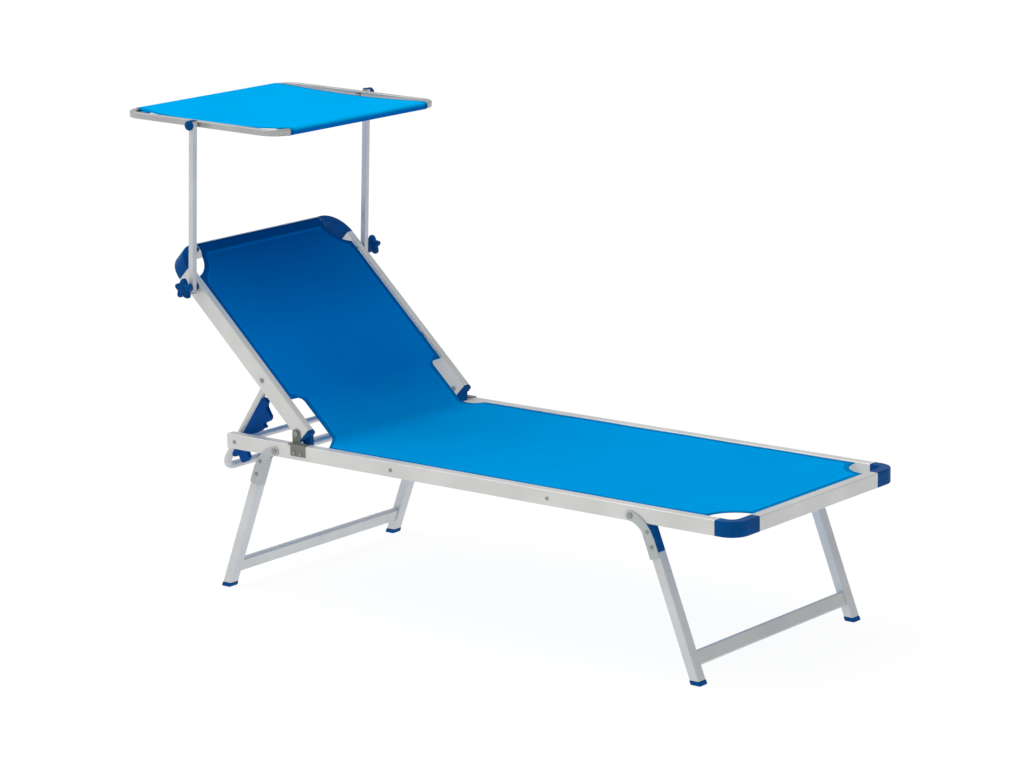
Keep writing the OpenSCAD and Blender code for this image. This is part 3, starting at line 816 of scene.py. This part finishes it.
def lofted(name, centre, side, rings, lobes):
    """A plastic knob that stands out from the side, round the rings given in millimetres."""
    around = 12 * lobes
    points, faces = [], []
    for out, radius, depth in rings:
        for k in range(around):
            angle = 2 * math.pi * k / around
            reach = (radius + depth * math.cos(lobes * angle)) * MM
            y = side * (KNOB_BASE + out * MM)
            points.append(centre + Vector((reach * math.sin(angle), y, reach * math.cos(angle))))
    for ring in range(len(rings) - 1):
        here = ring * around
        beyond = here + around
        for k in range(around):
            after = (k + 1) % around
            faces.append((here + k, here + after, beyond + after, beyond + k))
    faces.append(tuple(range(around)))
    faces.append(tuple(range(len(points) - around, len(points))))
    mesh = bpy.data.meshes.new(name)
    mesh.from_pydata(points, [], faces)
    shape = bmesh.new()
    shape.from_mesh(mesh)
    bmesh.ops.recalc_face_normals(shape, faces=shape.faces)
    shape.to_mesh(mesh)
    shape.free()
    return add_piece(name, mesh, BLUE_PLASTIC)


for side_name, side in SIDES.items():
    star = lofted(f"star_grip_{side_name}", STAR_BOLT, side, STAR_STEM + STAR_RIM + STAR_TOP, 5)
    small = lofted(f"small_grip_{side_name}", TILT_BOLT, side, SMALL_COLLAR + SMALL_GRIP, 16)
    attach(star, f"star_knob_{side_name}")
    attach(small, f"tilt_knob_{side_name}")
    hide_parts(f"star_knob_{side_name}")
    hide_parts(f"tilt_knob_{side_name}")


# ---- camera, light and floor ----

CAMERA_AT = Vector((5.3451, -6.6767, 2.4350))
CAMERA_LOOKS_AT = Vector((0.0427, -0.0106, 0.5254))
CAMERA_ROLL = math.radians(-0.9)
CAMERA_LENS_MM = 131.1
FLOOR_REACH = 30.0


def add_camera():
    """A long lens that looks from the foot end and the right side."""
    data = bpy.data.cameras.new("camera")
    data.lens = CAMERA_LENS_MM
    data.sensor_width = 36
    data.clip_end = 60
    camera = add_object("camera", data)
    aim = (CAMERA_LOOKS_AT - CAMERA_AT).to_track_quat("-Z", "Y").to_matrix().to_4x4()
    camera.matrix_world = Matrix.Translation(CAMERA_AT) @ aim @ Matrix.Rotation(CAMERA_ROLL, 4, "Z")
    bpy.context.scene.camera = camera


def add_sun(name, direction_up, spread_degrees, strength):
    """A wide, soft sun that shines from direction_up."""
    data = bpy.data.lights.new(name, "SUN")
    data.angle = math.radians(spread_degrees)
    data.energy = strength
    light = add_object(name, data)
    light.rotation_euler = Vector(direction_up).to_track_quat("Z", "Y").to_euler()


def add_world():
    """A soft studio: brighter towards the head end and the right side, darker beyond the foot."""
    world = bpy.data.worlds.new("studio")
    bpy.context.scene.world = world
    world.use_nodes = True
    tree = world.node_tree
    direction = add(tree, "ShaderNodeTexCoord").outputs["Generated"]
    facing = add(tree, "ShaderNodeVectorMath", operation="DOT_PRODUCT")
    tree.links.new(direction, facing.inputs[0])
    facing.inputs[1].default_value = (-0.57, -0.60, 0.56)
    strength = spread(tree, facing.outputs["Value"], 0.42, 0.78, (-1.0, 1.0))
    tree.links.new(strength, tree.nodes["Background"].inputs["Strength"])
    tree.nodes["Background"].inputs["Color"].default_value = (1.0, 1.0, 1.0, 1)


def add_floor():
    """A white floor that glows, so that only soft shadows show on it."""
    reach = FLOOR_REACH
    mesh = bpy.data.meshes.new("floor")
    corners = [(-reach, -reach, 0), (reach, -reach, 0), (reach, reach, 0), (-reach, reach, 0)]
    mesh.from_pydata(corners, [], [(0, 1, 2, 3)])
    floor = add_object("floor", mesh)
    material, _, shader = new_material("floor")
    shader.inputs["Base Color"].default_value = (*grey(0.08), 1)
    shader.inputs["Roughness"].default_value = 1.0
    shader.inputs["Specular IOR Level"].default_value = 0.0
    shader.inputs["Emission Color"].default_value = (*grey(1.0), 1)
    shader.inputs["Emission Strength"].default_value = 0.93
    mesh.materials.append(material)


add_camera()
add_world()
add_floor()
add_sun("sky", (-0.42, -0.12, 1.0), 50, 1.3)
bpy.context.scene.view_settings.view_transform = "Standard"
